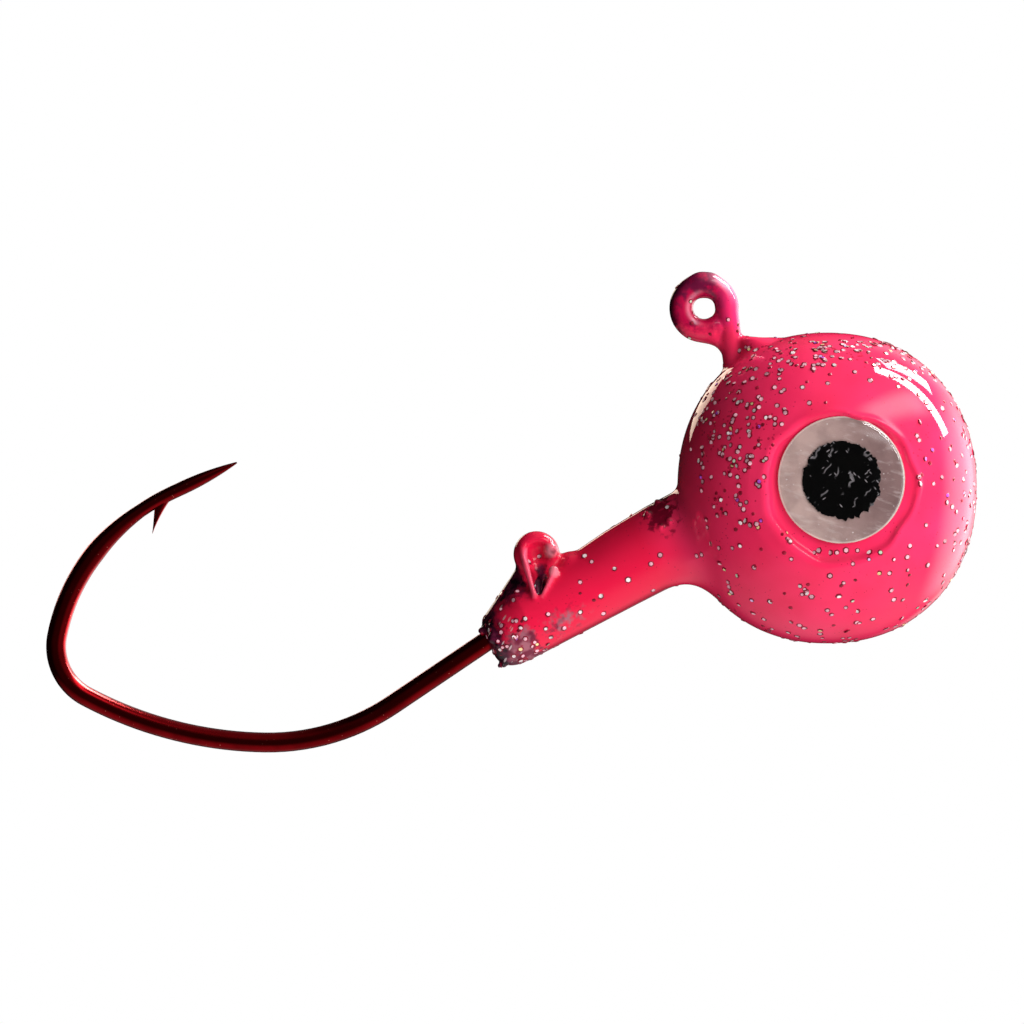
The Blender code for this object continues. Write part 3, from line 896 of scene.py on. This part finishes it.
def flake_material():
    m = Material("glitter_flake")
    tint = m.attribute("tint", "Color")
    shade = m.span(m.noise(0.5, 1.0), 0.35, 0.65, 0.55, 1.0)
    shaded = m.blend(1.0, tint, m.grey(shade), "MULTIPLY")
    m.set(Base_Color=shaded, Metallic=0.15, Roughness=m.span(m.noise(0.3, 1.0), 0.3, 0.7, 0.18, 0.4))
    # The flakes also glow faintly in their own colour: a painted glow.
    m.set(Coat_Weight=0.5, Coat_Roughness=0.08, Emission_Color=shaded, Emission_Strength=0.14)
    return m


def plating_material():
    m = Material("red_plating")
    cloud = m.noise(1.4, 3.0)
    pits = m.cells(0.30)
    red = m.blend(m.span(cloud, 0.35, 0.65), (0.36, 0.004, 0.008), (0.25, 0.002, 0.005))
    red = m.blend(m.span(pits, 0.10, 0.05), red, (0.95, 0.25, 0.18))
    # A painted highlight inside the tight bend.
    red = m.blend(m.math("MULTIPLY", m.attribute("painted_bend_highlight"), 0.8), red, (0.90, 0.22, 0.20))
    scratches = m.noise(0.12, 2.0, place=m.stretched((0.12, 1.0, 1.0), 20.0))
    m.set(Base_Color=red, Metallic=1.0, Roughness=m.span(cloud, 0.3, 0.7, 0.14, 0.26))
    m.set(Coat_Weight=0.03, Coat_Roughness=0.05, Normal=m.bump(scratches, 0.04, 0.01))
    return m


def mark_hook(piece):
    """Stores where a painted highlight lightens the plating: the inner side of the tight bend."""
    off = rows_of(piece.data.vertices, "co") / MM - BEND_HIGHLIGHT_PLACE
    inward = rows_of(piece.data.vertices, "normal") @ np.array((0.60, 0.0, 0.80))
    near = np.linalg.norm(off, axis=1) < 5.0
    painted_bend_highlight = bump(off @ np.array((0.80, 0.0, -0.60)), 1.9) * ramp(inward, 0.62, 0.3) * near
    store(piece.data, {"painted_bend_highlight": painted_bend_highlight})


def core_material():
    m = Material("cast_lead")
    grey = m.blend(m.span(m.noise(0.8), 0.35, 0.65), (0.16, 0.165, 0.175), (0.27, 0.27, 0.28))
    m.set(Base_Color=grey, Metallic=0.9, Roughness=m.span(m.noise(0.2), 0.3, 0.7, 0.45, 0.65))
    m.set(Normal=m.bump(m.noise(0.15), 0.3, 0.02))
    return m


def adhesive_material():
    m = Material("eye_adhesive")
    white = m.blend(m.span(m.noise(0.4), 0.35, 0.65), (0.62, 0.60, 0.56), (0.74, 0.72, 0.69))
    m.set(Base_Color=white, Roughness=m.span(m.noise(0.15), 0.3, 0.7, 0.55, 0.75))
    m.set(Normal=m.bump(m.noise(0.1), 0.3, 0.02))
    return m


def mark_foil(piece):
    """Stores how far out from the eye's axis each point of the foil lies, and how far along x it lies, for the
    light painted across the foil.
    """
    p = (rows_of(piece.data.vertices, "co") / MM - EYE_CENTRE) / EYE_RADIUS
    store(piece.data, {"out": np.hypot(p[:, 0], p[:, 2]), "painted_caustic_side": p[:, 0]})


def mark_dome(piece):
    """The dome's flat underside is glued to the foil, so it has no gloss of its own."""
    outward = np.abs(rows_of(piece.data.vertices, "co")[:, 1])
    store(piece.data, {"open": (outward > outward.min() + 0.02 * MM)})


def pearl_material():
    m = Material("eye_pearl")
    streaks = m.noise(0.9, 5.0, 0.62, m.stretched((0.8, 1.0, 2.6), 15.0))
    cloud = m.noise(1.8, 2.0)
    base = m.blend(m.span(cloud, 0.38, 0.62), (0.66, 0.48, 0.43), (0.59, 0.43, 0.385))
    # Darker towards +x and lighter on the other side: painted light, as if the dome focused light onto one side
    # of the foil.
    base = m.blend(m.span(m.attribute("painted_caustic_side"), -0.8, 0.9), base, (0.32, 0.20, 0.19))
    base = m.blend(m.span(streaks, 0.50, 0.66, 0.0, 0.40), base, (0.85, 0.74, 0.70))
    flecks = m.math("MULTIPLY", m.span(m.cells(0.26), 0.16, 0.08), m.span(m.noise(1.2, 0.0), 0.50, 0.58))
    base = m.blend(flecks, base, (0.95, 0.92, 0.90))
    base = m.blend(m.span(m.attribute("out"), 0.965, 0.98), base, (0.80, 0.74, 0.66))
    m.set(Base_Color=base, Metallic=0.2, Roughness=m.span(streaks, 0.3, 0.7, 0.30, 0.5))
    m.set(Normal=m.bump(streaks, 0.2, 0.03))
    return m


def ink_material():
    m = Material("eye_ink")
    winding = {"Scale": 420.0, "Distortion": 12.0, "Detail": 3.0, "Detail Scale": 1.3}
    winding["Vector"] = m.stretched((1.0, 1.0, 1.0), 35.0)
    curved = m.add("ShaderNodeTexWave", winding).outputs["Fac"]
    patch = m.span(m.noise(0.9, 1.0), 0.54, 0.62)
    # Grey crinkle lines on the pupil: painted glints, with their own roughness and bumps.
    crinkles_and_painted_glints = m.math("MULTIPLY", m.span(curved, 0.93, 0.99, 0.0, 0.6), patch)
    for lean in (50.0, -35.0):
        dashes = m.span(m.cells(0.66, m.stretched((1.0, 1.0, 3.6), lean)), 0.20, 0.11)
        crinkles_and_painted_glints = m.math("MAXIMUM", crinkles_and_painted_glints, m.math("MULTIPLY", dashes, m.span(m.noise(0.9, 1.0), 0.50, 0.57)))
    m.set(Base_Color=m.blend(crinkles_and_painted_glints, (0.001, 0.001, 0.001), (0.27, 0.26, 0.27)), Specular_IOR_Level=0.04)
    m.set(Roughness=m.span(crinkles_and_painted_glints, 0.0, 1.0, 0.55, 0.35), Normal=m.bump(crinkles_and_painted_glints, 0.3, 0.02))
    return m


def dome_material():
    """Clear plastic: what lies behind shows through, and gloss lies over it."""
    m = Material("eye_dome")
    haze = m.span(m.noise(0.9, 2.0), 0.4, 0.65)
    clear = m.blend(haze, (0.97, 0.96, 0.965), (0.90, 0.885, 0.89))
    through = m.add("ShaderNodeBsdfTransparent", {"Color": clear})
    waves = m.bump(m.noise(0.8, 1.0), 0.12, 0.03)
    gloss = m.add("ShaderNodeBsdfGlossy", {"Roughness": m.span(haze, 0.0, 1.0, 0.02, 0.06), "Normal": waves})
    facing = m.add("ShaderNodeLayerWeight", {"Blend": 0.5, "Normal": waves}).outputs["Facing"]
    share = m.math("ADD", m.math("MULTIPLY", m.math("POWER", facing, 5.0), 0.96), 0.04)
    share = m.math("MULTIPLY", m.math("MINIMUM", share, 0.30), m.attribute("open"))
    both = m.add("ShaderNodeMixShader", {0: share, 1: through.outputs[0], 2: gloss.outputs[0]})
    m.tree.nodes.remove(m.shader)
    out = m.tree.nodes["Material Output"]
    m.tree.links.new(both.outputs[0], out.inputs["Surface"])
    return m


# Pieces.


points, quads = net(coat_distance, COAT_LOW - 0.5, COAT_HIGH + 0.5, COAT_CELL)
points = relax(coat_distance, settle(coat_distance, points, 3), quads)
shell = mesh_object("glitter_coat", points, quads)
place_piece(shell, "top_coat", "clear_top_coat", "pink_base_coat")
mark_coat(shell)
coat_material().dress(shell)

points, quads = net(core_distance, COAT_LOW - 0.5, COAT_HIGH + 0.5, CORE_CELL)
points = settle(core_distance, points, 2)
core = mesh_object("cast_core", points, quads)
place_piece(core, "lead", "lead_casting")
core_material().dress(core)

hook = make_hook()
place_piece(hook, "hook_wire", "hook")
mark_hook(hook)
plating_material().dress(hook)

pearl, ink, dome, adhesive = pearl_material(), ink_material(), dome_material(), adhesive_material()
for prefix, side in (("right_eye_", -1), ("left_eye_", 1)):
    foil, pupil, lens = make_eye(prefix, side)
    mark_foil(foil)
    mark_dome(lens)
    pearl.dress(foil)
    ink.dress(pupil)
    dome.dress(lens)
    adhesive.dress(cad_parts[prefix + "adhesive_pad"])

flakes = make_flakes(shell, FLAKE_COUNT)
place_piece(flakes, "top_coat")
flake_material().dress(flakes)


# Stage, light and camera.


def way(azimuth, elevation):
    """The direction of a place round the object: azimuth 0 is towards the camera and 90 is at its right hand."""
    a, e = math.radians(azimuth), math.radians(elevation)
    return Vector((math.sin(a) * math.cos(e), -math.cos(a) * math.cos(e), math.sin(e)))


def area_light(name, azimuth, elevation, size, power, colour=(1.0, 1.0, 1.0), distance=0.6, glossy=True):
    """A rectangular light that faces the ball's centre."""
    data = bpy.data.lights.new(name, "AREA")
    data.shape = "RECTANGLE"
    data.size, data.size_y = size
    data.energy = power
    data.color = colour
    lamp = bpy.data.objects.new(name, data)
    bpy.context.scene.collection.objects.link(lamp)
    away = way(azimuth, elevation)
    lamp.location = Vector(BALL_CENTRE * MM) + away * distance
    lamp.rotation_mode = "QUATERNION"
    lamp.rotation_quaternion = (-away).to_track_quat("-Z", "Y")
    lamp.visible_camera = False
    lamp.visible_glossy = glossy


area_light("soft_key", 50.0, 18.0, (0.5, 0.5), 3.5, glossy=False)
area_light("table_bounce", 28.0, -44.0, (0.6, 0.4), 2.8, glossy=False)
area_light("soft_fill", -20.0, 5.0, (0.5, 0.4), 0.30, glossy=False)
area_light("window_pane", 106.0, 44.0, (0.09, 0.46), 2.4, distance=0.5)
area_light("far_pane", 131.0, 47.0, (0.10, 0.24), 0.9, distance=0.5)
area_light("warm_strip", -154.0, 17.0, (0.28, 0.15), 0.38, colour=(1.0, 0.78, 0.62))

FLOOR_REACH, FLOOR_HEIGHT = 900.0, -60.0
CAMERA_DISTANCE = 1200.0
FIELD_WIDTH = 51.2
SENSOR_WIDTH = 36.0
GLOW_WAY = Vector((0.845, 0.528, -0.08))
HAZE_WAY = way(63.0, 45.0)
HAZE_UP = way(63.0 + 180.0, 45.0)


def make_floor():
    """White paper below the object. Only the camera sees it."""
    corners = [(x * FLOOR_REACH, y * FLOOR_REACH, FLOOR_HEIGHT) for x, y in ((-1, -1), (1, -1), (1, 1), (-1, 1))]
    floor = mesh_object("studio_floor", corners, [(0, 1, 2, 3)], smooth=False)
    floor.visible_glossy = False
    floor.visible_diffuse = False
    floor.visible_shadow = False
    m = Material("studio_floor")
    m.set(Base_Color=m.grey(m.span(m.noise(3.0), 0.3, 0.7, 0.82, 0.86)), Roughness=0.9)
    m.set(Emission_Color=(1.0, 1.0, 1.0), Emission_Strength=1.0)
    m.dress(floor)


def make_world():
    """White behind the object. Reflections see a room that is dark at the left and light at the right."""
    world = bpy.data.worlds.new("studio")
    bpy.context.scene.world = world
    world.use_nodes = True
    tree = world.node_tree
    tree.nodes.clear()

    def add(kind, inputs=(), **settings):
        made = tree.nodes.new(kind)
        for key, value in settings.items():
            setattr(made, key, value)
        for key, value in dict(inputs).items():
            if isinstance(value, bpy.types.NodeSocket):
                tree.links.new(value, made.inputs[key])
            else:
                made.inputs[key].default_value = value
        return made

    def span(value, low, high, to_low, to_high):
        inputs = {"Value": value, "From Min": low, "From Max": high, "To Min": to_low, "To Max": to_high}
        return add("ShaderNodeMapRange", inputs, interpolation_type="SMOOTHSTEP").outputs["Result"]

    def join(operation, a, b):
        return add("ShaderNodeMath", {0: a, 1: b}, operation=operation).outputs[0]

    def nearness(direction):
        """1 where the room is looked at in this direction, 0 at a right angle to it."""
        return add("ShaderNodeVectorMath", {0: around, 1: direction}, operation="DOT_PRODUCT").outputs["Value"]

    around = add("ShaderNodeTexCoord").outputs["Generated"]
    x, y, z = add("ShaderNodeSeparateXYZ", {0: around}).outputs
    behind = join("MULTIPLY", span(y, 0.5, 0.95, 0.0, 1.2), span(x, 0.05, 0.3, 0.0, 1.0))
    haze_band = span(join("ABSOLUTE", nearness(HAZE_UP), 0.0), 0.22, 0.02, 0.0, 1.0)
    parts = (
        span(nearness(GLOW_WAY), 0.78, 1.0, 0.0, 3.4),  # a lit wall at the right, past the object
        span(x, 0.2, 0.7, 0.0, 0.3),  # the whole right side
        join("MULTIPLY", behind, span(z, -0.5, -0.15, 0.0, 1.0)),  # the right of the far wall, down to the table
        join("MULTIPLY", span(z, 0.3, 0.85, 0.0, 0.28), span(x, -0.35, 0.05, 0.0, 1.0)),  # the ceiling
        join("MULTIPLY", span(nearness(HAZE_WAY), 0.80, 0.97, 0.0, 4.6), haze_band),  # the haze beside the panes
        span(y, -0.4, -0.95, 0.0, 0.05),  # the wall behind the camera
        span(z, -0.40, -0.95, 0.0, 0.55),  # the table
    )
    total = 0.010
    for part in parts:
        total = join("ADD", total, part)
    room = add("ShaderNodeBackground", {"Strength": total})
    white = add("ShaderNodeBackground", {"Color": (1.0, 1.0, 1.0, 1.0), "Strength": 1.0})
    seen = add("ShaderNodeLightPath").outputs["Is Camera Ray"]
    both = add("ShaderNodeMixShader", {0: seen, 1: room.outputs[0], 2: white.outputs[0]})
    out = add("ShaderNodeOutputWorld")
    tree.links.new(both.outputs[0], out.inputs["Surface"])


def make_camera():
    """Looks level along +y, from far away, so that the object is drawn almost without perspective."""
    camera = bpy.data.objects.new("camera", bpy.data.cameras.new("camera"))
    bpy.context.scene.collection.objects.link(camera)
    camera.location = Vector((-9.6, -CAMERA_DISTANCE, -10.2)) * MM
    camera.rotation_euler = (math.radians(90.0), 0.0, 0.0)
    camera.data.sensor_width = SENSOR_WIDTH
    camera.data.lens = SENSOR_WIDTH * CAMERA_DISTANCE / FIELD_WIDTH
    camera.data.clip_start = 0.01
    camera.data.clip_end = 10.0
    bpy.context.scene.camera = camera


make_floor()
make_world()
make_camera()
bpy.context.scene.view_settings.view_transform = "Standard"
